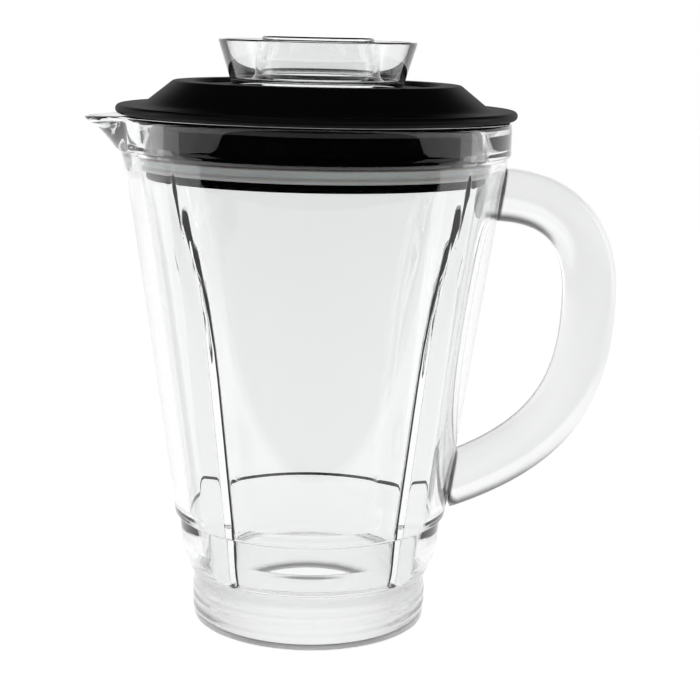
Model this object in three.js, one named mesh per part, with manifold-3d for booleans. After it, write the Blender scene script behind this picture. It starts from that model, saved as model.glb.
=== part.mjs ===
// A countertop blender's glass jar with its handle, push-in lid, lid seal and filler cap.
// Millimetres, +Z up. The jar stands on its threaded foot at z = 0, the handle points along +X and
// the spout along -X. The group is shifted along X at the end, so that the origin is the middle of
// the underside of the whole object.
import * as THREE from "three";
import { mergeVertices } from "three/addons/utils/BufferGeometryUtils.js";
import Module from "manifold-3d";

const wasm = await Module();
wasm.setup();

// ---- Driving dimensions ----

const SEGMENTS = 60; // facets round every turned piece
const ARC_STEPS = 3; // facets along every rounded edge
const GAP = 0.3; // clearance between pieces that touch

// Jar: a moulded glass vessel, a straight cone on a narrower threaded foot
const JAR_HEIGHT = 191.7;
const RIM_RADIUS = 72;
const RIM_BAND = 13.5; // height of the thicker band below the rim
const RIM_BAND_STEP = 1.1; // how far the band stands out from the cone
const RIM_ROUND = 2; // rounding of the rim's edges
const WALL = 5.6; // glass thickness, measured along the radius
const FOOT_RADIUS = 45;
const FOOT_HEIGHT = 15;
const FOOT_ROUND = 1; // rounding of the foot's lower edge
const FOOT_WALL = 10.5; // glass between the foot's outside and the hole for the cutter unit
const SHOULDER_STEP = 5.6; // how far the cone's lower end stands out from the foot
const SHOULDER_RISE = 15.7; // height in which the foot widens to the cone
const LEDGE_RISE = 11.3; // from the shoulder up to the fine ledge round the outside
const LEDGE_DEPTH = 1.8; // how far the wall steps in under the ledge
const FLOOR_HEIGHT = 20.5; // flat floor round the hole
const FLOOR_DRAFT = 0.6; // how far the basin narrows down to the floor
const BASIN_DEPTH = 9.5; // wall of the narrower basin above the floor
const BASIN_STEP = 1.1; // how far the basin is narrower than the cone's inside
const BASIN_BLEND = 16; // height over which the cone's inside narrows to the basin

// Ribs inside the jar, which break up the swirl
const RIB_COUNT = 4;
const RIB_DEPTH = 5;
const RIB_WIDTH = 12; // at the wall
const RIB_CREST = 1.2; // flat along the top of the wedge
const RIB_CLEARANCE = 4; // between a rib's top and the lid's skirt
const RIB_RUNOUT = 28; // height over which the rib dies away at its top
const RIB_STEPS = 30;

// Pouring spout
const SPOUT_REACH = 13.4; // how far the lip passes the rim
const SPOUT_RADIUS = 13; // lip seen from above
const SPOUT_DEPTH = 16; // height of the spout below the rim
const SPOUT_WALL = 2.6;

// Handle: one solid glass bar bent to a D
const HANDLE_REACH = 43.3; // outermost point beyond the rim
const HANDLE_THICK = 20; // across the bar, seen from the side
const HANDLE_WIDE = 22; // across the bar, along Y
const HANDLE_DROP = 27.7; // upper root below the rim
const HANDLE_LIFT = 21.3; // lower root above the cone's lower end
const HANDLE_BULGE = 0.652; // place of the outermost point between the roots, from the lower one
const HANDLE_STEPS = 30;

// Lid
const BRIM_OVERHANG = 1.8; // how far the brim passes the rim
const BRIM_THICK = 3.4;
const LID_RISE = 12.4; // plateau above the rim
const SLOPE_RUN = 20.9; // from the brim's edge in to the plateau
const PLATEAU_WIDTH = 6.9; // ring round the sunk middle
const RECESS_DEPTH = 1.5;
const LID_WALL = 2.5;
const LID_HOLE_RADIUS = 26;
const COLLAR_DEPTH = 7; // collar round the hole, below the recess
const SKIRT_CLEARANCE = 1.37; // between the skirt's lower edge and the glass
const SKIRT_WALL = 4.3;
const SKIRT_DEPTH = 21.7; // bottom of the skirt below the rim
const SEAL_LEDGE = 2.7; // rim under the seal groove
const SEAL_HEIGHT = 5.7;
const GROOVE_DEPTH = 1.8;

// Filler cap: a clear inverted cup inside a flared grip wall
const CAP_PLUG_DEPTH = 12; // plug below its flange
const CAP_WALL = 2;
const FLANGE_WIDTH = 5.5; // how far the cap's foot passes the lid's hole
const FLARE_RUN = 5.2; // how far the grip wall leans out
const FLARE_HEIGHT = 16.4;
const CUP_INSET = 3.1; // how far the cup is narrower than the lid's hole
const CUP_TAPER = 2.5; // how far the cup narrows to its top
const CUP_RISE = 1.3; // middle of the cup's top above the flare

// ---- Helpers ----

// A closed geometry as a manifold solid, with its shared vertices merged.
function solid(geometry) {
  const bare = geometry.clone();
  bare.deleteAttribute("normal");
  bare.deleteAttribute("uv");
  const merged = mergeVertices(bare, 1e-4);
  const index = merged.index.array;
  const kept = [];
  for (let i = 0; i < index.length; i += 3) {
    const [a, b, c] = [index[i], index[i + 1], index[i + 2]];
    if (a !== b && b !== c && c !== a) kept.push(a, b, c);
  }
  return new wasm.Manifold(
    new wasm.Mesh({
      numProp: 3,
      vertProperties: merged.attributes.position.array,
      triVerts: new Uint32Array(kept),
    }),
  );
}

// A manifold solid as a named mesh with its own material.
function node(name, body, look) {
  const made = body.getMesh();
  const geometry = new THREE.BufferGeometry();
  geometry.setAttribute("position", new THREE.BufferAttribute(made.vertProperties, 3));
  geometry.setIndex(new THREE.BufferAttribute(made.triVerts, 1));
  geometry.computeVertexNormals();
  const mesh = new THREE.Mesh(geometry, new THREE.MeshStandardMaterial(look));
  mesh.name = name;
  return mesh;
}

// An outline drawn as (radius, height), turned round the Z axis. The outline runs anticlockwise
// when radius points right and height points up, and closes on itself.
function turned(outline) {
  const points = outline.getPoints(ARC_STEPS);
  points.push(points[0].clone());
  return solid(new THREE.LatheGeometry(points, SEGMENTS).rotateX(Math.PI / 2));
}

// A path through plain [radius, height] corners.
function polygon(corners) {
  const path = new THREE.Path();
  path.moveTo(...corners[0]);
  corners.slice(1).forEach((corner) => path.lineTo(...corner));
  return path;
}

// ---- Shared levels and radii ----

const SHOULDER_RADIUS = FOOT_RADIUS + SHOULDER_STEP;
const SHOULDER_HEIGHT = FOOT_HEIGHT + SHOULDER_RISE;
const CONE_TOP_HEIGHT = JAR_HEIGHT - RIM_BAND;
const CONE_TOP_RADIUS = RIM_RADIUS - RIM_BAND_STEP;
const CONE_SLOPE = (CONE_TOP_RADIUS - SHOULDER_RADIUS) / (CONE_TOP_HEIGHT - SHOULDER_HEIGHT);
const LEDGE_HEIGHT = SHOULDER_HEIGHT + LEDGE_RISE;
const HOLE_RADIUS = FOOT_RADIUS - FOOT_WALL;
const BASIN_HEIGHT = FLOOR_HEIGHT + BASIN_DEPTH;
const BASIN_TOP = BASIN_HEIGHT + BASIN_BLEND;
const BASIN_RADIUS = innerRadius(BASIN_HEIGHT) - BASIN_STEP;
const HANDLE_TOP = JAR_HEIGHT - HANDLE_DROP;
const HANDLE_BOTTOM = SHOULDER_HEIGHT + HANDLE_LIFT;
const HANDLE_APEX = HANDLE_BOTTOM + (HANDLE_TOP - HANDLE_BOTTOM) * HANDLE_BULGE;
const BRIM_BOTTOM = JAR_HEIGHT + GAP;
const BRIM_RADIUS = RIM_RADIUS + BRIM_OVERHANG;
const PLATEAU_RADIUS = BRIM_RADIUS - SLOPE_RUN;
const RECESS_RADIUS = PLATEAU_RADIUS - PLATEAU_WIDTH;
const PLATEAU_HEIGHT = JAR_HEIGHT + LID_RISE;
const RECESS_HEIGHT = PLATEAU_HEIGHT - RECESS_DEPTH;
const SKIRT_BOTTOM = JAR_HEIGHT - SKIRT_DEPTH;
const SKIRT_RADIUS = innerRadius(SKIRT_BOTTOM) - SKIRT_CLEARANCE;
const GROOVE_RADIUS = SKIRT_RADIUS - GROOVE_DEPTH;
const RIB_TOP = SKIRT_BOTTOM - RIB_CLEARANCE;
const FLARE_FOOT_RADIUS = LID_HOLE_RADIUS + FLANGE_WIDTH;
const FLARE_RADIUS = FLARE_FOOT_RADIUS + FLARE_RUN;
const CUP_RADIUS = LID_HOLE_RADIUS - CUP_INSET;
const CUP_TOP_RADIUS = CUP_RADIUS - CUP_TAPER;

// The jar's outer and inner cone radius at a height.
function outerRadius(z) {
  return SHOULDER_RADIUS + (z - SHOULDER_HEIGHT) * CONE_SLOPE;
}

function innerRadius(z) {
  return outerRadius(z) - WALL;
}

// ---- Jar ----

// The outside of the jar from the foot's lower edge to the rim's outer edge, pushed out by grow.
function outside(path, grow) {
  path.lineTo(FOOT_RADIUS - FOOT_ROUND + grow, 0);
  path.quadraticCurveTo(FOOT_RADIUS + grow, 0, FOOT_RADIUS + grow, FOOT_ROUND * 2);
  path.lineTo(FOOT_RADIUS + grow, FOOT_HEIGHT);
  const turnHeight = FOOT_HEIGHT + SHOULDER_RISE * 0.7;
  const stepped = (z) => outerRadius(z) - LEDGE_DEPTH + grow;
  path.quadraticCurveTo(stepped(turnHeight), turnHeight, stepped(SHOULDER_HEIGHT), SHOULDER_HEIGHT);
  const ledgeLow = LEDGE_HEIGHT - LEDGE_DEPTH * 0.64;
  path.lineTo(stepped(ledgeLow), ledgeLow);
  path.lineTo(outerRadius(LEDGE_HEIGHT) + grow, LEDGE_HEIGHT);
  path.lineTo(CONE_TOP_RADIUS + grow, CONE_TOP_HEIGHT);
  path.lineTo(RIM_RADIUS + grow, CONE_TOP_HEIGHT + RIM_BAND_STEP);
  path.lineTo(RIM_RADIUS + grow, JAR_HEIGHT - RIM_ROUND);
}

function jarOutline() {
  const rimInner = innerRadius(JAR_HEIGHT);
  const path = new THREE.Path();
  path.moveTo(HOLE_RADIUS, 0);
  outside(path, 0);
  path.quadraticCurveTo(RIM_RADIUS, JAR_HEIGHT, RIM_RADIUS - RIM_ROUND, JAR_HEIGHT);
  path.lineTo(rimInner + RIM_ROUND / 2, JAR_HEIGHT);
  path.quadraticCurveTo(rimInner, JAR_HEIGHT, rimInner, JAR_HEIGHT - RIM_ROUND);
  path.lineTo(innerRadius(BASIN_TOP), BASIN_TOP);
  path.lineTo(BASIN_RADIUS, BASIN_HEIGHT);
  path.lineTo(BASIN_RADIUS - FLOOR_DRAFT, FLOOR_HEIGHT);
  path.lineTo(HOLE_RADIUS, FLOOR_HEIGHT);
  return path;
}

// One rib at angle zero: a wedge that leans with the wall and dies away at its top.
function rib() {
  const sunk = WALL / 3; // how far the rib's back lies inside the wall
  const height = RIB_TOP - FLOOR_HEIGHT;
  const plan = new THREE.Shape([
    new THREE.Vector2(-RIB_DEPTH, -RIB_CREST / 2),
    new THREE.Vector2(0, -RIB_WIDTH / 2),
    new THREE.Vector2(sunk, -RIB_WIDTH / 2),
    new THREE.Vector2(sunk, RIB_WIDTH / 2),
    new THREE.Vector2(0, RIB_WIDTH / 2),
    new THREE.Vector2(-RIB_DEPTH, RIB_CREST / 2),
  ]);
  const wedge = new THREE.ExtrudeGeometry(plan, { depth: height, steps: RIB_STEPS, bevelEnabled: false });
  const place = wedge.attributes.position;
  for (let i = 0; i < place.count; i++) {
    const z = place.getZ(i);
    const rise = Math.max(0, 1 - (height - z) / RIB_RUNOUT);
    const proud = Math.min(place.getX(i), 0) * (1 - rise * rise);
    place.setX(i, innerRadius(FLOOR_HEIGHT + z) + Math.max(place.getX(i), 0) + proud);
  }
  return wedge.translate(0, 0, FLOOR_HEIGHT);
}

// An upside-down cone whose level slices are circles: its point lies in the wall below the rim
// and its top circle touches the lip's outermost point, shrunk all round by shrink.
function spoutCone(shrink, overshoot) {
  const tipX = RIM_RADIUS - WALL;
  const topX = RIM_RADIUS + SPOUT_REACH - SPOUT_RADIUS;
  const rise = SPOUT_DEPTH - shrink;
  const lean = (topX - tipX) / rise;
  const grow = (SPOUT_RADIUS - shrink) / rise;
  const height = rise + overshoot;
  const outline = polygon([
    [0, 0],
    [grow * height, height],
    [0, height],
  ]);
  const cone = new THREE.LatheGeometry([...outline.getPoints(), new THREE.Vector2(0, 0)], 40)
    .rotateX(Math.PI / 2)
    .applyMatrix4(new THREE.Matrix4().makeShear(0, 0, 0, 0, -lean, 0))
    .translate(-tipX, 0, JAR_HEIGHT - rise);
  return solid(cone);
}

// The space inside the upper cone of the jar.
function hollow() {
  const over = JAR_HEIGHT + RIM_BAND;
  return turned(
    polygon([
      [0, BASIN_TOP],
      [innerRadius(BASIN_TOP), BASIN_TOP],
      [innerRadius(over), over],
      [0, over],
    ]),
  );
}

function jarBody() {
  const spout = spoutCone(0, 0).subtract(hollow());
  let body = turned(jarOutline()).add(spout);
  for (let i = 0; i < RIB_COUNT; i++) {
    const angle = ((i + 0.5) / RIB_COUNT) * 2 * Math.PI;
    body = body.add(solid(rib().rotateZ(angle)));
  }
  return body.subtract(spoutCone(SPOUT_WALL, 5));
}

// ---- Handle ----

// The bar's middle line: out level from the upper root, round the apex and back in to the lower.
function handleLine() {
  const apexX = RIM_RADIUS + HANDLE_REACH - HANDLE_THICK / 2;
  const line = new THREE.CurvePath();
  const point = (x, z) => new THREE.Vector3(x, 0, z);
  const out = apexX - outerRadius(HANDLE_TOP);
  const drop = HANDLE_APEX - HANDLE_BOTTOM;
  line.add(
    new THREE.CubicBezierCurve3(
      point(outerRadius(HANDLE_TOP) - WALL / 2, HANDLE_TOP),
      point(apexX - out / 3, HANDLE_TOP),
      point(apexX, HANDLE_APEX + (HANDLE_TOP - HANDLE_APEX) * 0.64),
      point(apexX, HANDLE_APEX),
    ),
  );
  line.add(
    new THREE.CubicBezierCurve3(
      point(apexX, HANDLE_APEX),
      point(apexX, HANDLE_APEX - drop / 2),
      point(apexX - out / 3, HANDLE_BOTTOM + drop / 5),
      point(outerRadius(HANDLE_BOTTOM) - WALL / 2, HANDLE_BOTTOM),
    ),
  );
  return line;
}

// The bar's section, between an ellipse and a rectangle. Its y lies in the plane of the D.
function handleSection() {
  const section = new THREE.Shape();
  const steps = 16;
  for (let i = 0; i < steps; i++) {
    const turn = (i / steps) * 2 * Math.PI;
    const square = (value) => Math.sign(value) * Math.sqrt(Math.abs(value));
    const blend = (value) => value * 0.6 + square(value) * 0.4;
    const x = (HANDLE_WIDE / 2) * blend(Math.cos(turn));
    const y = (HANDLE_THICK / 2) * blend(Math.sin(turn));
    if (i === 0) section.moveTo(x, y);
    else section.lineTo(x, y);
  }
  return section;
}

function handle() {
  const bar = new THREE.ExtrudeGeometry(handleSection(), {
    steps: HANDLE_STEPS,
    bevelEnabled: false,
    extrudePath: handleLine(),
  });
  const envelope = new THREE.Path();
  envelope.moveTo(0, 0);
  outside(envelope, GAP);
  envelope.lineTo(0, JAR_HEIGHT);
  return solid(bar).subtract(turned(envelope));
}

// ---- Lid ----

function lidOutline() {
  const coneFoot = (PLATEAU_RADIUS + BRIM_RADIUS) / 2;
  const brimTop = BRIM_BOTTOM + BRIM_THICK;
  const grooveBottom = SKIRT_BOTTOM + SEAL_LEDGE;
  const grooveTop = grooveBottom + SEAL_HEIGHT;
  const skirtInner = SKIRT_RADIUS - SKIRT_WALL;
  const path = new THREE.Path();
  path.moveTo(SKIRT_RADIUS, BRIM_BOTTOM);
  path.lineTo(BRIM_RADIUS - BRIM_THICK / 2, BRIM_BOTTOM);
  path.quadraticCurveTo(BRIM_RADIUS, BRIM_BOTTOM, BRIM_RADIUS, BRIM_BOTTOM + BRIM_THICK / 2);
  path.quadraticCurveTo(BRIM_RADIUS, brimTop, BRIM_RADIUS - BRIM_THICK / 2, brimTop);
  path.quadraticCurveTo(coneFoot, brimTop, PLATEAU_RADIUS + 1.5, PLATEAU_HEIGHT - 1);
  path.quadraticCurveTo(PLATEAU_RADIUS, PLATEAU_HEIGHT, PLATEAU_RADIUS - 2, PLATEAU_HEIGHT);
  path.lineTo(RECESS_RADIUS, PLATEAU_HEIGHT);
  path.lineTo(RECESS_RADIUS, RECESS_HEIGHT);
  path.lineTo(LID_HOLE_RADIUS, RECESS_HEIGHT);
  path.lineTo(LID_HOLE_RADIUS, RECESS_HEIGHT - COLLAR_DEPTH);
  path.lineTo(LID_HOLE_RADIUS + LID_WALL, RECESS_HEIGHT - COLLAR_DEPTH);
  path.lineTo(LID_HOLE_RADIUS + LID_WALL, RECESS_HEIGHT - LID_WALL);
  path.lineTo(PLATEAU_RADIUS - LID_WALL, RECESS_HEIGHT - LID_WALL);
  path.lineTo(skirtInner, BRIM_BOTTOM);
  path.lineTo(skirtInner, SKIRT_BOTTOM);
  path.lineTo(SKIRT_RADIUS, SKIRT_BOTTOM);
  path.lineTo(SKIRT_RADIUS, grooveBottom);
  path.lineTo(GROOVE_RADIUS, grooveBottom);
  path.lineTo(GROOVE_RADIUS, grooveTop);
  path.lineTo(SKIRT_RADIUS, grooveTop);
  return path;
}

// A soft ring in the groove, with two lips that reach towards the jar's wall.
function sealOutline() {
  const low = SKIRT_BOTTOM + SEAL_LEDGE + GAP;
  const high = low + SEAL_HEIGHT - 2 * GAP;
  const inner = GROOVE_RADIUS + GAP;
  const neck = SKIRT_RADIUS;
  const lip = (high - low) / 5;
  const reach = (z) => innerRadius(z) - GAP;
  return polygon([
    [inner, low],
    [neck, low],
    [reach(low), low + lip / 2],
    [reach(low), low + lip],
    [neck + lip / 2, low + 2 * lip],
    [neck + lip / 2, high - 2 * lip],
    [reach(high - lip), high - lip],
    [reach(high - lip), high - lip / 2],
    [neck, high],
    [inner, high],
  ]);
}

// ---- Filler cap ----

function capOutline() {
  const plug = LID_HOLE_RADIUS - GAP;
  const flange = RECESS_HEIGHT + GAP;
  const flareTop = flange + FLARE_HEIGHT;
  const flareLean = (FLARE_RADIUS - FLARE_FOOT_RADIUS) / FLARE_HEIGHT;
  const bottom = flange - CAP_PLUG_DEPTH;
  const cupTop = flareTop + CUP_RISE;
  const cupMiddle = flange + FLARE_HEIGHT / 2;
  const path = new THREE.Path();
  path.moveTo(plug - CAP_WALL, bottom);
  path.lineTo(plug, bottom);
  path.lineTo(plug, flange);
  path.lineTo(FLARE_FOOT_RADIUS, flange);
  path.lineTo(FLARE_RADIUS, flareTop);
  path.lineTo(FLARE_RADIUS - CAP_WALL, flareTop);
  path.lineTo(FLARE_FOOT_RADIUS - CAP_WALL + flareLean * CAP_WALL, flange + CAP_WALL);
  path.lineTo(CUP_RADIUS, flange + CAP_WALL);
  path.lineTo(CUP_RADIUS, cupMiddle);
  path.quadraticCurveTo(CUP_TOP_RADIUS, cupTop - CAP_WALL, CUP_TOP_RADIUS, cupTop - CAP_WALL / 4);
  path.lineTo(CUP_TOP_RADIUS - CAP_WALL / 4, cupTop);
  path.lineTo(0, cupTop);
  path.lineTo(0, cupTop - CAP_WALL);
  path.lineTo(CUP_TOP_RADIUS - CAP_WALL, cupTop - CAP_WALL);
  path.lineTo(CUP_RADIUS - CAP_WALL, cupMiddle);
  path.lineTo(CUP_RADIUS - CAP_WALL, flange);
  return path;
}

// ---- The assembly ----

const CLEAR_GLASS = { color: 0xe9edee, roughness: 0.03, metalness: 0 };
const CLEAR_PLASTIC = { color: 0xe4e7e8, roughness: 0.08, metalness: 0 };
const BLACK_PLASTIC = { color: 0x0d0d0e, roughness: 0.35, metalness: 0 };
const GREY_SILICONE = { color: 0xb9bbbb, roughness: 0.6, metalness: 0 };

const jar = new THREE.Group();
jar.add(node("jar_body", jarBody(), CLEAR_GLASS));
jar.add(node("handle", handle(), CLEAR_GLASS));

const lid = new THREE.Group();
lid.add(node("lid_body", turned(lidOutline()), BLACK_PLASTIC));
lid.add(node("lid_seal", turned(sealOutline()), GREY_SILICONE));

const cap = new THREE.Group();
cap.add(node("filler_cap", turned(capOutline()), CLEAR_PLASTIC));

const blender = new THREE.Group();
blender.add(jar, lid, cap);
const box = new THREE.Box3().setFromObject(blender);
blender.position.x = -(box.min.x + box.max.x) / 2;

export default blender;
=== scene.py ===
"""Glass jar of a countertop blender, with its handle, lid, seal and filler cap.

Every size is in metres. The jar's own axis is vertical; the handle points along +X and the spout
along -X. Each piece is turned or swept from a short outline and rides on its body of the frame.
"""
import math

import bpy
import numpy as np
from bpy.props import FloatProperty, FloatVectorProperty, IntProperty, PointerProperty
from mathutils import Matrix, Vector


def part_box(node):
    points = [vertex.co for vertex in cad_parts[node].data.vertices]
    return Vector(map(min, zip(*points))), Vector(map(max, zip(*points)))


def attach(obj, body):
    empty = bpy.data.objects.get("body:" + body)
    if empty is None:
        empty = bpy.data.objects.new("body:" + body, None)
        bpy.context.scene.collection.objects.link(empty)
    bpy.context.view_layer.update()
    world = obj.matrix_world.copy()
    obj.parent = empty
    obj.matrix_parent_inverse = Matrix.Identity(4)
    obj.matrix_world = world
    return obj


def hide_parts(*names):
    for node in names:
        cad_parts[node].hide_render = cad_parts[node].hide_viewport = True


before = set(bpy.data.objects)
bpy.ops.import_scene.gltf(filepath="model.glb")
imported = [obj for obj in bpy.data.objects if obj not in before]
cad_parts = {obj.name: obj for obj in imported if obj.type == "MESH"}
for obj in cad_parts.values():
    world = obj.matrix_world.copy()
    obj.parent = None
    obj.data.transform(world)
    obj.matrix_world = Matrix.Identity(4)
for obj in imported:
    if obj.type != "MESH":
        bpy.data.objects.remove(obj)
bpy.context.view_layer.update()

bl_info = {
    "name": "Glass Blender Jar",
    "version": (1, 0, 0),
    "blender": (4, 5, 0),
    "location": "View3D > Sidebar > Blender Jar",
    "description": "Builds a glass blender jar with its handle, lid, seal and filler cap",
    "category": "Add Mesh",
}

MM = 0.001
AXIS_X = sum(corner.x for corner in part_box("lid_seal")) / 2
JAR_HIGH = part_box("jar_body")[1]
LID_LOW, LID_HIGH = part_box("lid_body")
CAP_LOW, CAP_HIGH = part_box("filler_cap")
HANDLE_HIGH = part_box("handle")[1]


# ---- Settings ----


def length(name, millimetres, description):
    """A property that holds a length."""
    size = millimetres * MM
    return FloatProperty(name=name, description=description, default=size, min=0, unit="LENGTH", precision=5)


def share(name, default, description):
    """A property that holds a plain share from 0 to 1."""
    return FloatProperty(name=name, description=description, default=default, min=0, max=1)


def strength(name, default, description):
    """A property that holds a light's strength."""
    return FloatProperty(name=name, description=description, default=default, min=0)


def colour(name, rgb, description):
    """A property that holds a colour."""
    return FloatVectorProperty(name=name, description=description, default=rgb, min=0, subtype="COLOR")


def angle(name, degrees, description):
    """A property that holds an angle."""
    return FloatProperty(name=name, description=description, default=math.radians(degrees), subtype="ANGLE")


class JarSettings(bpy.types.PropertyGroup):
    """The pressed glass vessel."""

    height: length("Height", JAR_HIGH.z / MM, "Foot to rim")
    rim_radius: length("Rim radius", JAR_HIGH.y / MM, "Outside of the rim band")
    band: length("Rim band", 13.5, "Height of the thicker band under the rim")
    band_step: length("Band step", 1.1, "How far the band stands out from the cone")
    wall: length("Wall", 5.6, "Glass thickness along the radius")
    shoulder_radius: length("Shoulder radius", 50.6, "Outside of the cone's lower end")
    shoulder_height: length("Shoulder height", 30.7, "Height of the cone's lower end")
    foot_radius: length("Foot radius", 44.6, "Outside of the foot, between its threads")
    foot_height: length("Foot height", 16.5, "Height of the foot under the shoulder")
    thread: length("Thread", 0.5, "How far the thread stands out")
    pitch: length("Thread pitch", 4.2, "Rise of the thread in one turn")
    ledge_height: length("Ledge height", 42, "Level of the fine ledge round the outside")
    ledge_depth: length("Ledge depth", 1.8, "How far the wall steps in under the ledge")
    basin_top: length("Basin top", 46, "Level where the inside turns from the cone to the basin")
    basin_radius: length("Basin radius", 43.8, "Inside of the basin at its foot")
    floor_edge: length("Floor edge", 30, "Level of the basin's foot")
    floor: length("Floor", 20.5, "Level of the floor")
    hole_radius: length("Hole radius", 34.5, "Central hole")
    rib_depth: length("Rib depth", 4.5, "How far a rib stands into the jar")
    rib_width: length("Rib width", 12, "Width of a rib at the wall")
    rib_hook: angle("Rib hook", 9, "How far a rib's top bends towards the spout or the handle")
    rib_crest: length("Rib crest", 0.7, "Rounding of a rib's crest")
    rib_top: length("Rib top", 166, "Where a rib has died away")
    rib_runout: length("Rib runout", 28, "Height over which a rib dies away")
    spout_reach: length("Spout reach", 13.4, "How far the lip passes the rim")
    spout_depth: length("Spout depth", 15.5, "Height of the spout under the rim")
    spout_wall: length("Spout wall", 2.8, "Glass thickness at the lip")
    spout_angle: angle("Spout width", 11, "Half the angle that the spout takes up")
    rib_taper: share("Rib taper", 0.45, "How much narrower a rib is near its top")
    thread_low: length("Thread start", 3.2, "Level where the thread begins")
    thread_high: length("Thread end", 14.2, "Level where the thread ends")
    foot_frost: share("Foot frost", 0.12, "Roughness of the foot")
    seat_frost: share("Seat frost", 0.35, "Roughness round the central hole")
    tint: colour("Glass", (0.935, 0.94, 0.94), "Colour of the clear glass")


class HandleSettings(bpy.types.PropertyGroup):
    """The solid glass bar."""

    thick: length("Thickness", 20, "Across the bar in the plane of the D")
    wide: length("Width", 22, "Across the bar along Y")
    top: length("Upper root", 164, "Height of the upper root")
    apex: length("Apex", 125, "Height of the outermost point")
    bottom: length("Lower root", 52, "Height of the lower root")
    flat: share("Flatness", 0.35, "How far the bar's section goes from an ellipse to a rectangle")
    gap: length("Joint", 0.3, "Bond line between the bar and the jar")
    milk: share("Milkiness", 0.14, "Roughness of the bar's surface")
    tint: colour("Glass", (0.87, 0.875, 0.875), "Colour of the clear bar")


class LidSettings(bpy.types.PropertyGroup):
    """The black lid and its seal."""

    brim: length("Brim", 3.4, "Thickness of the brim")
    plateau: length("Plateau radius", 52.9, "Top of the slope")
    recess: length("Recess radius", 46, "Sunk middle of the plateau")
    recess_depth: length("Recess depth", 1.5, "Depth of the sunk middle")
    wall: length("Wall", 2.5, "Thickness of the plastic")
    hole: length("Hole radius", 26, "Hole for the filler cap")
    collar: length("Collar", 7, "Depth of the collar round the hole")
    skirt: length("Skirt radius", 62.8, "Outside of the skirt")
    skirt_wall: length("Skirt wall", 4.3, "Thickness of the skirt")
    ledge: length("Seal ledge", 2.7, "Rim of the skirt under the seal")
    seal: length("Seal height", 5.7, "Height of the seal's groove")
    groove: length("Groove depth", 1.8, "Depth of the seal's groove")
    plastic: colour("Plastic", (0.0022, 0.0022, 0.0025), "Colour of the lid")
    silicone: colour("Silicone", (0.85, 0.86, 0.85), "Colour of the seal")


class CapSettings(bpy.types.PropertyGroup):
    """The clear filler cap."""

    wall: length("Wall", 2, "Thickness of the plastic")
    flare: length("Flare radius", 36.7, "Top of the flared grip wall")
    flare_foot: length("Flare foot", 31.5, "Foot of the flared grip wall")
    flare_height: length("Flare height", 16.4, "Height of the flared grip wall")
    cup: length("Cup radius", 22.9, "Widest part of the inverted cup")
    cup_top: length("Cup top radius", 20.4, "Closed top of the cup")
    tint: colour("Plastic", (0.97, 0.975, 0.975), "Colour of the clear plastic")


class StageSettings(bpy.types.PropertyGroup):
    """Floor, light and camera."""

    backdrop: colour("Backdrop", (1.0, 1.0, 1.0), "Backdrop above the floor's edge")
    bright_side: colour("Bright side", (1.2, 1.2, 1.2), "Light low down behind the object")
    dim_side: colour("Dim side", (0.5, 0.5, 0.5), "Light low down in front of the object")
    ceiling: colour("Ceiling", (0.04, 0.04, 0.04), "Light from above")
    floor: colour("Floor", (0.95, 0.95, 0.95), "Colour of the floor")
    band_top: share("Band top", 0.22, "Height of the low bright band, as the sine of its angle")
    ceiling_edge: share("Ceiling edge", 0.5, "Where the ceiling is fully dark, as the sine of its angle")
    glow: strength("Floor glow", 0.84, "Light that the floor gives off")
    key_power: strength("Key light", 1.0, "Power of the soft box overhead")
    strip_power: strength("Strip lights", 1.2, "Power of each upright strip")
    distance: length("Camera distance", 600.8, "From the jar's axis, measured level")
    height: length("Camera height", 225.5, "Above the floor")
    azimuth: angle("Azimuth", -2.85, "Camera's place round the jar, from the front")
    aim: angle("Aim", 1.347, "How far the camera looks past the jar's axis")
    tilt: angle("Tilt", 11.448, "How far the camera looks down")
    roll: angle("Roll", 1.268, "How far the camera leans")
    lens: FloatProperty(name="Lens", description="Focal length on a 36 mm sensor", default=82.87, min=1)


class BlenderJarSettings(bpy.types.PropertyGroup):
    """Everything that can be set."""

    jar: PointerProperty(type=JarSettings)
    handle: PointerProperty(type=HandleSettings)
    lid: PointerProperty(type=LidSettings)
    cap: PointerProperty(type=CapSettings)
    stage: PointerProperty(type=StageSettings)


# ---- Outlines and meshes ----


def rounded(corners, arc_steps=6):
    """Points round a closed outline of (radius, height, fillet) corners, with each fillet as an arc."""
    points = []
    for i, (x, z, fillet) in enumerate(corners):
        here = Vector((x, z))
        back = (Vector(corners[i - 1][:2]) - here).normalized()
        on = (Vector(corners[(i + 1) % len(corners)][:2]) - here).normalized()
        half = back.angle(on) / 2
        if fillet <= 0 or half > math.radians(89.9):
            points.append(here)
            continue
        centre = here + (back + on).normalized() * (fillet / math.sin(half))
        arm = here + back * (fillet / math.tan(half)) - centre
        sweep = math.pi - 2 * half
        if on.x * back.y - on.y * back.x < 0:
            sweep = -sweep
        steps = max(2, math.ceil(abs(sweep) / (math.pi / 2) * arc_steps))
        for k in range(steps + 1):
            points.append(centre + Matrix.Rotation(sweep * k / steps, 2) @ arm)
    return points


def refined(points, step_at):
    """The closed outline with every stretch cut to at most step_at(height) long."""
    fine = []
    for i, here in enumerate(points):
        after = points[(i + 1) % len(points)]
        count = max(1, math.ceil((after - here).length / step_at((here.y + after.y) / 2)))
        fine += [here.lerp(after, k / count) for k in range(count)]
    return fine


def even_angles(count):
    """Angles of a full turn, evenly spaced."""
    return np.arange(count) / count * 2 * math.pi


def crowded_angles(places, coarse):
    """Angles of a full turn, closer together round each (angle, half width, step) place."""
    angles = []
    turn = 0.0
    while turn < 2 * math.pi - 1e-9:
        angles.append(turn)
        step = coarse
        for centre, half, fine in places:
            away = abs((turn - centre + math.pi) % (2 * math.pi) - math.pi) - half
            step = min(step, fine + max(0.0, away) * 0.25)
        turn += step
    return np.array(angles) * (2 * math.pi / turn)


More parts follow.
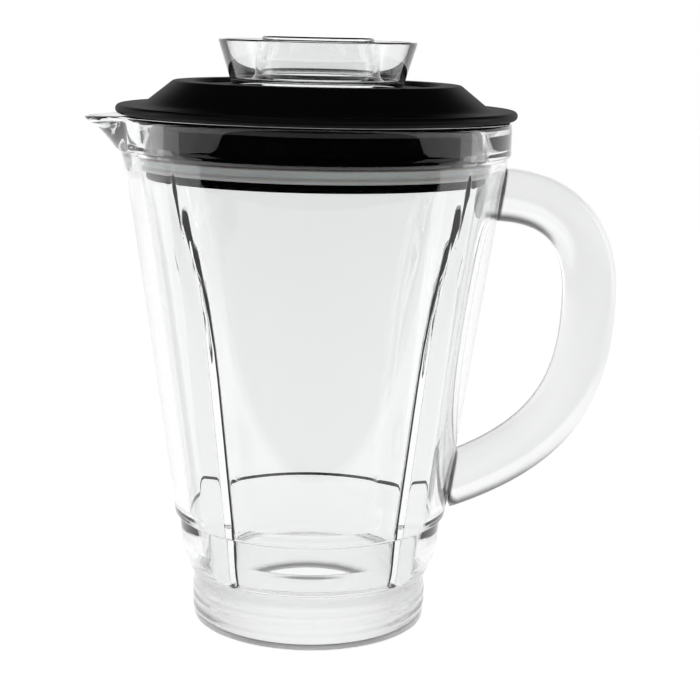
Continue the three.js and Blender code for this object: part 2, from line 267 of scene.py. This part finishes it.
def finished(name, mesh, material, body, replaced):
    """A mesh as a smooth piece that rides on a body and stands for its CAD node."""
    mesh.validate()
    mesh.update()
    mesh.shade_smooth()
    piece = bpy.data.objects.new(name, mesh)
    bpy.context.scene.collection.objects.link(piece)
    mesh.materials.append(material)
    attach(piece, body)
    if replaced:
        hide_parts(replaced)
    return piece


def mesh_of(name, rings):
    """A mesh from an array of rings[row, column, xyz] that closes on itself both ways. A row whose
    points all lie on the axis becomes one point."""
    rows, columns = rings.shape[:2]
    points, index = [], []
    for ring in rings:
        pole = np.ptp(ring, axis=0).max() < 1e-9
        first = len(points)
        points += [ring[0]] if pole else list(ring)
        index.append([first] * columns if pole else list(range(first, first + columns)))
    faces = []
    for i in range(rows):
        low, high = index[i], index[(i + 1) % rows]
        for j in range(columns):
            k = (j + 1) % columns
            corners = list(dict.fromkeys([low[j], low[k], high[k], high[j]]))
            if len(corners) > 2:
                faces.append(corners)
    mesh = bpy.data.meshes.new(name)
    mesh.from_pydata([tuple(p) for p in points], [], faces)
    return mesh


def turned(name, outline, angles, bend=None):
    """A mesh turned round the jar's axis. bend(radius, height, angle) moves its points."""
    r = np.array([p.x for p in outline])[:, None] + np.zeros(len(angles))
    z = np.array([p.y for p in outline])[:, None] + np.zeros(len(angles))
    t = angles[None, :] + np.zeros(r.shape)
    if bend:
        r, z = bend(r, z, t)
    return mesh_of(name, np.stack([AXIS_X + r * np.cos(t), r * np.sin(t), z], axis=2))


def smooth_step(low, high, value):
    """0 below low, 1 above high, and smooth between."""
    share_of = np.clip((value - low) / (high - low), 0, 1)
    return share_of * share_of * (3 - 2 * share_of)


def soft_min(a, b, blend):
    """The smaller of two arrays, with the corner between them rounded over blend."""
    mix = np.clip(0.5 + 0.5 * (b - a) / blend, 0, 1)
    return b + (a - b) * mix - blend * mix * (1 - mix)


# ---- Shader nodes ----


class Value:
    """A node's output socket, on which Python's arithmetic adds Math nodes."""

    def __init__(self, shader, socket):
        self.shader = shader
        self.socket = socket

    def maths(self, operation, *values):
        return self.shader.node("ShaderNodeMath", {"operation": operation}, dict(enumerate(values)))

    def __add__(self, other):
        return self.maths("ADD", self, other)

    def __sub__(self, other):
        return self.maths("SUBTRACT", self, other)

    def __rsub__(self, other):
        return self.maths("SUBTRACT", other, self)

    def __mul__(self, other):
        return self.maths("MULTIPLY", self, other)

    __radd__ = __add__
    __rmul__ = __mul__


class Shader:
    """A material, or a world, whose nodes are added one call at a time."""

    def __init__(self, name, owner=None):
        self.owner = owner or bpy.data.materials.new(name)
        self.owner.use_nodes = True
        self.tree = self.owner.node_tree
        self.tree.nodes.clear()

    def node(self, kind, settings=None, inputs=None, output=0):
        """Adds a node, sets it up, fills its sockets, and returns one output as a Value."""
        made = self.tree.nodes.new(kind)
        for key, value in (settings or {}).items():
            if key == "stops":
                for stop, (place, rgba) in zip(made.color_ramp.elements, value):
                    stop.position, stop.color = place, rgba
            else:
                setattr(made, key, value)
        for key, value in (inputs or {}).items():
            if isinstance(value, Value):
                self.tree.links.new(value.socket, made.inputs[key])
            else:
                made.inputs[key].default_value = value
        return Value(self, made.outputs[output]) if made.outputs else None

    def noise(self, scale, detail=2.0, stretch=(1, 1, 1)):
        """Noise over the object's own coordinates."""
        place = self.node("ShaderNodeTexCoord", output=3)
        mapped = self.node("ShaderNodeMapping", None, {"Vector": place, "Scale": stretch})
        return self.node("ShaderNodeTexNoise", None, {"Vector": mapped, "Scale": scale, "Detail": detail})

    def mixed(self, factor, first, second):
        """A colour between two others, each a link or a plain colour."""
        first, second = (way if isinstance(way, Value) else (*way, 1) for way in (first, second))
        return self.node("ShaderNodeMix", {"data_type": "RGBA"}, {0: factor, 6: first, 7: second}, output=2)

    def bump(self, height, distance):
        """A normal from a height."""
        return self.node("ShaderNodeBump", None, {"Height": height, "Distance": distance})

    def height(self):
        """Height above the foot."""
        place = self.node("ShaderNodeTexCoord", output="Object")
        return self.node("ShaderNodeSeparateXYZ", None, {0: place}, output="Z")

    def radius(self):
        """Distance from the jar's own axis."""
        place = self.node("ShaderNodeTexCoord", output="Object")
        from_axis = {"operation": "MULTIPLY_ADD"}
        flat = self.node("ShaderNodeVectorMath", from_axis, {0: place, 1: (1, 1, 0), 2: (-AXIS_X, 0, 0)})
        return self.node("ShaderNodeVectorMath", {"operation": "LENGTH"}, {0: flat}, output="Value")

    def ramp(self, value, zero, one):
        """Rises from 0 where value is zero to 1 where it is one."""
        return self.node("ShaderNodeMapRange", None, {0: value, 1: zero, 2: one})

    def finish(self, inputs):
        """Ends in a Principled shader with these inputs."""
        surface = self.node("ShaderNodeBsdfPrincipled", None, inputs)
        self.node("ShaderNodeOutputMaterial", None, {"Surface": surface})
        return self.owner


def clear_material(name, tint, ior, wave, wave_scale, base_roughness, jar=None):
    """Glass or clear plastic with the faint waviness of a moulded surface. Given the jar, its
    glass below the basin top is tinted greyer as painted shade, and its foot and central hole are slightly
    frosted."""
    shader = Shader(name)
    ripple = shader.noise(wave_scale, 1.0)
    cloud = shader.noise(18.0, 2.0)
    clear = shader.mixed(cloud, tint, tuple(part * 0.985 for part in tint))
    roughness = cloud * base_roughness
    if jar:
        height = shader.height()
        seat_edge = jar.hole_radius + 0.5 * MM
        low = shader.ramp(height, jar.floor, jar.floor - 2 * MM)
        near = shader.ramp(shader.radius(), seat_edge + 1 * MM, seat_edge)
        roughness = roughness + low * jar.foot_frost + near * jar.seat_frost
        # Painted shade: below the basin top the glass is tinted greyer to stand in for the shade seen
        # through the base.
        base_painted_shade = shader.ramp(height, jar.basin_top, jar.basin_top - 8 * MM)
        clear = shader.mixed(base_painted_shade, clear, tuple(part * 0.96 for part in tint))
    return shader.finish(
        {
            "Base Color": clear,
            "Roughness": roughness,
            "Metallic": 0.0,
            "IOR": ior,
            "Transmission Weight": 1.0,
            "Normal": shader.bump(ripple, wave),
        }
    )


def lid_material(settings, rim_height):
    """Black moulded plastic with a fine satin grain, polished above the rim only."""
    shader = Shader("lid_black_plastic")
    grain = shader.noise(2600.0, 2.0)
    cloud = shader.noise(30.0, 3.0)
    above = shader.ramp(shader.height(), rim_height - 2 * MM, rim_height)
    lighter = tuple(part * 1.6 + 0.001 for part in settings.plastic)
    return shader.finish(
        {
            "Base Color": shader.mixed(cloud, tuple(settings.plastic), lighter),
            "Roughness": 0.3 + cloud * 0.14,
            "Metallic": 0.0,
            "Coat Weight": above * 0.2,
            "Coat Roughness": 0.28,
            "Normal": shader.bump(grain, 0.00002),
            "Specular IOR Level": 0.0,
        }
    )


def seal_material(settings):
    """Translucent grey silicone, matt and a little cloudy."""
    shader = Shader("seal_silicone")
    cloud = shader.noise(60.0, 3.0)
    darker = tuple(part * 0.85 for part in settings.silicone)
    return shader.finish(
        {
            "Base Color": shader.mixed(cloud, tuple(settings.silicone), darker),
            "Roughness": 0.35 + cloud * 0.15,
            "Subsurface Weight": 0.35,
            "Subsurface Scale": 0.004,
        }
    )


def floor_material(settings):
    """The plain floor, with a trace of tone so that it isn't one flat colour."""
    shader = Shader("floor_white")
    cloud = shader.noise(3.0, 2.0)
    darker = tuple(part * 0.995 for part in settings.floor)
    return shader.finish(
        {
            "Base Color": shader.mixed(cloud, tuple(settings.floor), darker),
            "Roughness": 0.9 + cloud * 0.05,
            "Specular IOR Level": 0.1,
            "Emission Color": (1, 1, 1, 1),
            "Emission Strength": settings.glow,
        }
    )


# ---- Jar ----


def cone_radius(jar, z):
    """Outside of the jar's cone at a height."""
    top = jar.height - jar.band
    slope = (jar.rim_radius - jar.band_step - jar.shoulder_radius) / (top - jar.shoulder_height)
    return jar.shoulder_radius + (z - jar.shoulder_height) * slope


def jar_outline(jar):
    """The jar's section as filleted corners, up the outside and down the inside."""
    band_low = jar.height - jar.band
    neck = jar.foot_height + 0.8 * (jar.shoulder_height - jar.foot_height)
    inner_rim = cone_radius(jar, jar.height) - jar.wall
    step_low = jar.ledge_height - 0.64 * jar.ledge_depth
    return rounded(
        [
            (jar.hole_radius, 0, 0.6 * MM),
            (jar.foot_radius, 0, 1.0 * MM),
            (jar.foot_radius, jar.foot_height, 1.6 * MM),
            (cone_radius(jar, neck) - 0.6 * MM, neck, 11 * MM),
            (cone_radius(jar, step_low) - jar.ledge_depth, step_low, 0.3 * MM),
            (cone_radius(jar, jar.ledge_height), jar.ledge_height, 1.2 * MM),
            (cone_radius(jar, band_low), band_low, 0.5 * MM),
            (jar.rim_radius, band_low + jar.band_step, 0.9 * MM),
            (jar.rim_radius, jar.height, 2.0 * MM),
            (inner_rim, jar.height, 1.8 * MM),
            (cone_radius(jar, jar.basin_top) - jar.wall, jar.basin_top, 3.0 * MM),
            (jar.basin_radius, jar.floor_edge, 3.0 * MM),
            (jar.basin_radius - 0.6 * MM, jar.floor, 4.0 * MM),
            (jar.hole_radius, jar.floor, 1.0 * MM),
        ]
    )


def jar_step(jar):
    """How long a stretch of the jar's section may be at a height."""

    def step(z):
        if z < jar.foot_height + 1 * MM:
            return 0.5 * MM
        if z > jar.height - jar.spout_depth - 2 * MM:
            return 1.2 * MM
        if jar.rib_top - jar.rib_runout - 2 * MM < z < jar.rib_top + 1 * MM:
            return 0.8 * MM
        return 12 * MM

    return step


def jar_bend(jar):
    """Raises the ribs, pulls out the spout and cuts the thread."""

    def bend(r, z, t):
        inner = cone_radius(jar, z) - jar.wall
        across = (t * 4 / (2 * math.pi)) % 1 - 0.5
        hooked = jar.rib_hook * np.clip(1 - (jar.rib_top - z) / (1.6 * jar.rib_runout), 0, 1) ** 2
        arc = (across * (math.pi / 2) + np.sign(np.sin(2 * t)) * hooked) * inner
        rise = np.clip((z - (jar.rib_top - jar.rib_runout)) / jar.rib_runout, 0, 1)
        depth = jar.rib_depth * (1 - rise**2)
        down_flank = np.sqrt(arc**2 + jar.rib_crest**2) - jar.rib_crest
        narrowing = 1 - jar.rib_taper * smooth_step(jar.rib_top - 60 * MM, jar.rib_top - 20 * MM, z)
        rib = inner - depth + down_flank * (jar.rib_depth / (jar.rib_width / 2)) / narrowing
        on_wall = (r < inner + 0.3 * MM) & (z > jar.floor - 1 * MM) & (z < jar.rib_top)
        foot = smooth_step(jar.floor - 0.2 * MM, jar.floor + 2 * MM, z)
        ribbed = soft_min(r, rib, 0.8 * MM)
        r = np.where(on_wall, r + (np.minimum(ribbed, r) - r) * foot, r)

        climb = np.clip((z - (jar.height - jar.spout_depth)) / jar.spout_depth, 0, 1) ** 1.25
        away = np.abs((t - math.pi + math.pi) % (2 * math.pi) - math.pi)
        depth_in = np.clip((cone_radius(jar, z) - r) / jar.wall, 0, 1)
        width = jar.spout_angle * (1.15 - 0.3 * depth_in)
        lip = np.exp(-((away / width) ** 2.4))
        thinned = jar.spout_reach + (jar.wall - jar.spout_wall) * depth_in
        r = r + thinned * climb * lip
        z = z - 1.2 * MM * climb * lip * (z > jar.height - 4 * MM)

        turn = (z / jar.pitch - t / (2 * math.pi)) % 1
        ridge = np.exp(-(((turn - 0.5) / 0.2) ** 2))
        fade = 0.75 * MM
        begun = smooth_step(jar.thread_low - fade, jar.thread_low + fade, z)
        ended = smooth_step(jar.thread_high - fade, jar.thread_high + fade, z)
        live = begun * (1 - ended)
        r = r + jar.thread * ridge * live * (r > jar.foot_radius - 0.3 * MM) * (z < jar.foot_height)
        return r, z

    return bend


class BLENDERJAR_OT_jar(bpy.types.Operator):
    """Build the glass jar with its ribs, spout and threaded foot"""

    bl_idname = "blenderjar.jar"
    bl_label = "Glass Jar"

    def execute(self, context):
        jar = context.scene.blender_jar.jar
        fine = math.radians(0.4)
        hook = jar.rib_hook / 2
        spread = math.radians(6) + hook
        places = []
        for i in range(4):
            middle = math.pi / 4 + i * math.pi / 2
            side = 1 if i % 2 else -1
            places.append((middle + side * hook, spread, fine))
        places.append((math.pi, math.radians(16), math.radians(0.6)))
        angles = crowded_angles(places, math.radians(2.0))
        outline = refined(jar_outline(jar), jar_step(jar))
        mesh = turned("jar_glass", outline, angles, jar_bend(jar))
        glass = clear_material("jar_clear_glass", tuple(jar.tint), 1.5, 0.00002, 40.0, 0.01, jar)
        finished("jar_glass", mesh, glass, "jar", "jar_body")
        return {"FINISHED"}


# ---- Handle ----


def bezier(points, t):
    """A point on a cubic curve and its direction."""
    a, b, c, d = points
    s = 1 - t
    place = a * s**3 + b * (3 * s * s * t) + c * (3 * s * t * t) + d * t**3
    way = (b - a) * (s * s) + (c - b) * (2 * s * t) + (d - c) * (t * t)
    return place, way.normalized()


def handle_line(jar, handle):
    """Places and directions along the bar's middle line, from the upper root to the lower."""
    apex_x = HANDLE_HIGH.x - AXIS_X - handle.thick / 2
    out = apex_x - cone_radius(jar, handle.top)
    drop = handle.apex - handle.bottom
    upper = [
        Vector((cone_radius(jar, handle.top) - jar.wall / 2, handle.top)),
        Vector((apex_x - out / 3, handle.top)),
        Vector((apex_x, handle.apex + (handle.top - handle.apex) * 0.64)),
        Vector((apex_x, handle.apex)),
    ]
    lower = [
        Vector((apex_x, handle.apex)),
        Vector((apex_x, handle.apex - drop / 2)),
        Vector((apex_x - out / 3, handle.bottom + drop / 5)),
        Vector((cone_radius(jar, handle.bottom) - jar.wall / 2, handle.bottom)),
    ]
    steps = 40
    line = [bezier(upper, k / steps) for k in range(steps)]
    return line + [bezier(lower, k / steps) for k in range(steps + 1)]


def squarish(value, flat):
    """A sine or cosine, pushed towards a square by the share flat."""
    return value * (1 - flat) + np.sign(value) * np.sqrt(np.abs(value)) * flat


def handle_rings(jar, handle):
    """Rings of points round the bar, the end ones cut to the jar's cone."""
    turn = even_angles(48)
    across = (handle.thick / 2) * squarish(np.cos(turn), handle.flat)
    wide = (handle.wide / 2) * squarish(np.sin(turn), handle.flat)
    rings = []
    for place, way in handle_line(jar, handle):
        side = Vector((way.y, -way.x))
        x = place.x + side.x * across
        z = place.y + side.y * across
        limit = np.sqrt(np.maximum((cone_radius(jar, z) + handle.gap) ** 2 - wide**2, 0))
        x = np.maximum(x, limit)
        rings.append(np.stack([AXIS_X + x, wide, z], axis=1))
    return np.array(rings)


def handle_material(jar, handle):
    """Thick clear glass, slightly milky, with painted shade: a near-black band where it meets the jar."""
    shader = Shader("handle_clear_glass")
    cloud = shader.noise(55.0, 4.0)
    dimple = shader.noise(160.0, 2.0)
    # Painted shade: the glass is painted near black where the bar meets the jar, standing in for the shade
    # in the joint.
    rise = cone_radius(jar, handle.top) - cone_radius(jar, handle.bottom)
    slope = rise / (handle.top - handle.bottom)
    proud = shader.radius() - shader.height() * slope - cone_radius(jar, 0)
    joint_painted_shade = shader.ramp(proud, 1.6 * MM, 0.8 * MM)
    tint = tuple(handle.tint)
    glass = shader.mixed(cloud, tint, tuple(part * 0.93 for part in tint))
    return shader.finish(
        {
            "Base Color": shader.mixed(joint_painted_shade, glass, (0.01, 0.01, 0.01)),
            "Roughness": cloud * 0.12 + handle.milk,
            "Metallic": 0.0,
            "IOR": 1.5,
            "Transmission Weight": 1.0,
            "Normal": shader.bump(dimple, 0.00006),
        }
    )


class BLENDERJAR_OT_handle(bpy.types.Operator):
    """Build the solid glass handle"""

    bl_idname = "blenderjar.handle"
    bl_label = "Handle"

    def execute(self, context):
        settings = context.scene.blender_jar
        rings = handle_rings(settings.jar, settings.handle)
        first = rings[0].mean(axis=0)[None, :] + np.zeros(rings[0].shape)
        last = rings[-1].mean(axis=0)[None, :] + np.zeros(rings[-1].shape)
        mesh = mesh_of("handle_bar", np.concatenate([[first], rings, [last]]))
        glass = handle_material(settings.jar, settings.handle)
        finished("handle_bar", mesh, glass, "jar", "handle")
        return {"FINISHED"}


# ---- Lid and seal ----


def lid_levels(lid):
    """Heights that the lid and seal share."""
    low, high = LID_LOW.z, LID_HIGH.z
    return {
        "skirt": low,
        "groove": low + lid.ledge,
        "groove_top": low + lid.ledge + lid.seal,
        "recess": high - lid.recess_depth,
        "plateau": high,
    }


def lid_outline(jar, lid):
    """The lid's section as filleted corners, from under the brim round over the top."""
    at = lid_levels(lid)
    brim_low = jar.height + 0.3 * MM
    brim_top = brim_low + lid.brim
    edge = LID_HIGH.y
    slope_foot = lid.plateau + 11.5 * MM
    skirt_in = lid.skirt - lid.skirt_wall
    return rounded(
        [
            (lid.skirt, brim_low, 0.6 * MM),
            (edge, brim_low, 1.6 * MM),
            (edge, brim_top, 1.6 * MM),
            (slope_foot, brim_top - 0.4 * MM, 9 * MM),
            (lid.plateau, at["plateau"], 1.6 * MM),
            (lid.recess, at["plateau"], 0.4 * MM),
            (lid.recess - 0.6 * MM, at["recess"], 0.4 * MM),
            (lid.hole, at["recess"], 0.5 * MM),
            (lid.hole, at["recess"] - lid.collar, 0.5 * MM),
            (lid.hole + lid.wall, at["recess"] - lid.collar, 0.5 * MM),
            (lid.hole + lid.wall, at["recess"] - lid.wall, 0.5 * MM),
            (lid.plateau - lid.wall, at["recess"] - lid.wall, 1.5 * MM),
            (skirt_in, brim_low, 1.5 * MM),
            (skirt_in, at["skirt"], 0.8 * MM),
            (lid.skirt, at["skirt"], 0.8 * MM),
            (lid.skirt, at["groove"], 0.3 * MM),
            (lid.skirt - lid.groove, at["groove"], 0.3 * MM),
            (lid.skirt - lid.groove, at["groove_top"], 0.3 * MM),
            (lid.skirt, at["groove_top"], 0.3 * MM),
        ]
    )


def seal_outline(jar, lid):
    """The seal's section: a ring with two soft lips that reach for the glass."""
    at = lid_levels(lid)
    gap = 0.3 * MM
    low, high = at["groove"] + gap, at["groove_top"] - gap
    lip = (high - low) / 5
    neck = lid.skirt + 0.4 * MM

    def reach(z):
        return cone_radius(jar, z) - jar.wall - gap

    return rounded(
        [
            (lid.skirt - lid.groove + gap, low, 0.2 * MM),
            (neck, low, 0.3 * MM),
            (reach(low), low + 0.4 * lip, 0.3 * MM),
            (reach(low), low + 1.2 * lip, 0.3 * MM),
            (neck, low + 2 * lip, 0.4 * MM),
            (neck, high - 2 * lip, 0.4 * MM),
            (reach(high - lip), high - 1.2 * lip, 0.3 * MM),
            (reach(high - lip), high - 0.4 * lip, 0.3 * MM),
            (neck, high, 0.3 * MM),
            (lid.skirt - lid.groove + gap, high, 0.2 * MM),
        ]
    )


class BLENDERJAR_OT_lid(bpy.types.Operator):
    """Build the black lid"""

    bl_idname = "blenderjar.lid"
    bl_label = "Lid"

    def execute(self, context):
        settings = context.scene.blender_jar
        mesh = turned("lid_shell", lid_outline(settings.jar, settings.lid), even_angles(240))
        plastic = lid_material(settings.lid, settings.jar.height)
        finished("lid_shell", mesh, plastic, "lid", "lid_body")
        return {"FINISHED"}


class BLENDERJAR_OT_seal(bpy.types.Operator):
    """Build the silicone seal"""

    bl_idname = "blenderjar.seal"
    bl_label = "Seal"

    def execute(self, context):
        settings = context.scene.blender_jar
        mesh = turned("seal_ring", seal_outline(settings.jar, settings.lid), even_angles(240))
        finished("seal_ring", mesh, seal_material(settings.lid), "lid", "lid_seal")
        return {"FINISHED"}


# ---- Filler cap ----


def cap_outline(cap, lid):
    """The cap's section, from the plug up the flare, over the inverted cup and down inside it."""
    plug = lid.hole - 0.3 * MM
    flange = lid_levels(lid)["recess"] + 0.3 * MM
    flare_top = flange + cap.flare_height
    lean = (cap.flare - cap.flare_foot) / cap.flare_height
    middle = flange + cap.flare_height / 2
    top = CAP_HIGH.z
    return rounded(
        [
            (plug - cap.wall, CAP_LOW.z, 0.7 * MM),
            (plug, CAP_LOW.z, 0.7 * MM),
            (plug, flange, 0.4 * MM),
            (cap.flare_foot, flange, 0.8 * MM),
            (cap.flare, flare_top, 0.6 * MM),
            (cap.flare - cap.wall, flare_top, 0.6 * MM),
            (cap.flare_foot - cap.wall + lean * cap.wall, flange + cap.wall, 1.8 * MM),
            (cap.cup, flange + cap.wall, 2.5 * MM),
            (cap.cup, middle, 9 * MM),
            (cap.cup_top, top, 0.9 * MM),
            (0, top, 0),
            (0, top - cap.wall, 0),
            (cap.cup_top - cap.wall, top - cap.wall, 1.0 * MM),
            (cap.cup - cap.wall, middle, 7 * MM),
            (cap.cup - cap.wall, flange, 1.5 * MM),
        ]
    )


class BLENDERJAR_OT_cap(bpy.types.Operator):
    """Build the clear filler cap"""

    bl_idname = "blenderjar.cap"
    bl_label = "Filler Cap"

    def execute(self, context):
        settings = context.scene.blender_jar
        mesh = turned("filler_cap_clear", cap_outline(settings.cap, settings.lid), even_angles(240))
        clear = clear_material("cap_clear_plastic", tuple(settings.cap.tint), 1.49, 0.00001, 70.0, 0.03)
        finished("filler_cap_clear", mesh, clear, "cap", "filler_cap")
        return {"FINISHED"}


# ---- Stage ----

FLOOR_REACH = 3.0


def camera_matrix(stage):
    """The camera's place and turn, from its place round the jar and how far it looks aside and down."""
    heading = stage.aim - stage.azimuth
    place = Vector(
        (
            AXIS_X + stage.distance * math.sin(stage.azimuth),
            -stage.distance * math.cos(stage.azimuth),
            stage.height,
        )
    )
    ahead = Vector(
        (
            math.sin(heading) * math.cos(stage.tilt),
            math.cos(heading) * math.cos(stage.tilt),
            -math.sin(stage.tilt),
        )
    )
    right = Vector((math.cos(heading), -math.sin(heading), 0))
    up = right.cross(ahead)
    right, up = (
        right * math.cos(stage.roll) + up * math.sin(stage.roll),
        up * math.cos(stage.roll) - right * math.sin(stage.roll),
    )
    turn = Matrix((right, up, -ahead)).transposed().to_4x4()
    return Matrix.Translation(place) @ turn


def studio_world(stage):
    """Light all round, brighter behind the object than in front, over a plain white backdrop."""
    studio = Shader("studio", bpy.data.worlds.new("studio"))
    way = studio.node("ShaderNodeTexCoord", output=0)
    depth = studio.node("ShaderNodeSeparateXYZ", None, {"Vector": way}, output=1)
    height = studio.node("ShaderNodeSeparateXYZ", None, {"Vector": way}, output=2)
    above = studio.node(
        "ShaderNodeMapRange",
        {"interpolation_type": "SMOOTHSTEP"},
        {0: height, 1: stage.band_top, 2: stage.ceiling_edge},
    )
    low = studio.mixed(depth * 0.5 + 0.5, tuple(stage.dim_side), tuple(stage.bright_side))
    light = studio.mixed(above, low, tuple(stage.ceiling))
    seen = studio.node("ShaderNodeLightPath", output=0)
    shade = studio.mixed(seen, light, tuple(stage.backdrop))
    surface = studio.node("ShaderNodeBackground", None, {"Color": shade, "Strength": 1.0})
    studio.node("ShaderNodeOutputWorld", None, {"Surface": surface})
    return studio.owner


def stage_card(name, low, high, height, material):
    """A level rectangle that belongs to the stage."""
    mesh = bpy.data.meshes.new(name)
    corners = [(low[0], low[1]), (high[0], low[1]), (high[0], high[1]), (low[0], high[1])]
    mesh.from_pydata([(*corner, height) for corner in corners], [], [(0, 1, 2, 3)])
    mesh.materials.append(material)
    card = bpy.data.objects.new(name, mesh)
    bpy.context.scene.collection.objects.link(card)
    return card


def card_material():
    """Black to a ray that has been reflected, and clear to every other ray."""
    shader = Shader("card_black")
    reflected = shader.node("ShaderNodeLightPath", output="Glossy Depth")
    clear = shader.node("ShaderNodeBsdfTransparent")
    black = shader.node("ShaderNodeBsdfDiffuse", None, {"Color": (0.01, 0.01, 0.01, 1)})
    surface = shader.node("ShaderNodeMixShader", None, {0: reflected, 1: clear, 2: black})
    shader.node("ShaderNodeOutputMaterial", None, {"Surface": surface})
    return shader.owner


def dark_card():
    """A black card on the floor in front, which only reflections show. It keeps the white floor's
    veil off the glass."""
    side = FLOOR_REACH - 0.05
    card = stage_card("dark_card", (-side, -side), (side, -0.16), 2 * MM, card_material())
    card.visible_camera = False
    card.visible_diffuse = False
    card.visible_shadow = False


def soft_box(name, place, size, power):
    """A soft rectangular lamp that faces the middle of the object."""
    lamp = bpy.data.lights.new(name, "AREA")
    lamp.shape = "RECTANGLE"
    lamp.size, lamp.size_y = size
    lamp.energy = power
    box = bpy.data.objects.new(name, lamp)
    box.location = place
    box.rotation_euler = (Vector((0, 0, JAR_HIGH.z / 2)) - box.location).to_track_quat("-Z", "Y").to_euler()
    bpy.context.scene.collection.objects.link(box)


class BLENDERJAR_OT_stage(bpy.types.Operator):
    """Build the floor, the light and the camera"""

    bl_idname = "blenderjar.stage"
    bl_label = "Stage"

    def execute(self, context):
        scene = context.scene
        stage = scene.blender_jar.stage
        reach = FLOOR_REACH
        stage_card("floor", (-reach, -reach), (reach, reach), 0, floor_material(stage))
        scene.world = studio_world(stage)
        dark_card()
        soft_box("soft_box", (-0.35, -0.3, 1.3), (0.9, 0.6), stage.key_power)
        soft_box("strip_left", (-1.0, 0.25, 0.35), (0.25, 0.9), stage.strip_power)
        soft_box("strip_right", (1.0, 0.2, 0.35), (0.25, 0.9), stage.strip_power)

        data = bpy.data.cameras.new("camera")
        data.lens = stage.lens
        data.sensor_width = 36
        data.clip_start = 0.01
        camera = bpy.data.objects.new("camera", data)
        camera.matrix_world = camera_matrix(stage)
        scene.collection.objects.link(camera)
        scene.camera = camera
        scene.view_settings.view_transform = "Standard"
        return {"FINISHED"}


# ---- Panel and registration ----


class BLENDERJAR_PT_panel(bpy.types.Panel):
    """Sidebar panel with a button for each piece"""

    bl_idname = "BLENDERJAR_PT_panel"
    bl_label = "Blender Jar"
    bl_space_type = "VIEW_3D"
    bl_region_type = "UI"
    bl_category = "Blender Jar"

    def draw(self, context):
        for operator in PIECES:
            self.layout.operator(operator.bl_idname)


PIECES = [
    BLENDERJAR_OT_stage,
    BLENDERJAR_OT_jar,
    BLENDERJAR_OT_handle,
    BLENDERJAR_OT_lid,
    BLENDERJAR_OT_seal,
    BLENDERJAR_OT_cap,
]
SETTINGS = [JarSettings, HandleSettings, LidSettings, CapSettings, StageSettings, BlenderJarSettings]


def register():
    for one in [*SETTINGS, *PIECES, BLENDERJAR_PT_panel]:
        bpy.utils.register_class(one)
    bpy.types.Scene.blender_jar = PointerProperty(type=BlenderJarSettings)


def unregister():
    del bpy.types.Scene.blender_jar
    for one in reversed([*SETTINGS, *PIECES, BLENDERJAR_PT_panel]):
        bpy.utils.unregister_class(one)


def main():
    """Registers the add-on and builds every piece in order."""
    register()
    for operator in PIECES:
        group, name = operator.bl_idname.split(".")
        getattr(getattr(bpy.ops, group), name)()


if __name__ == "__main__":
    main()
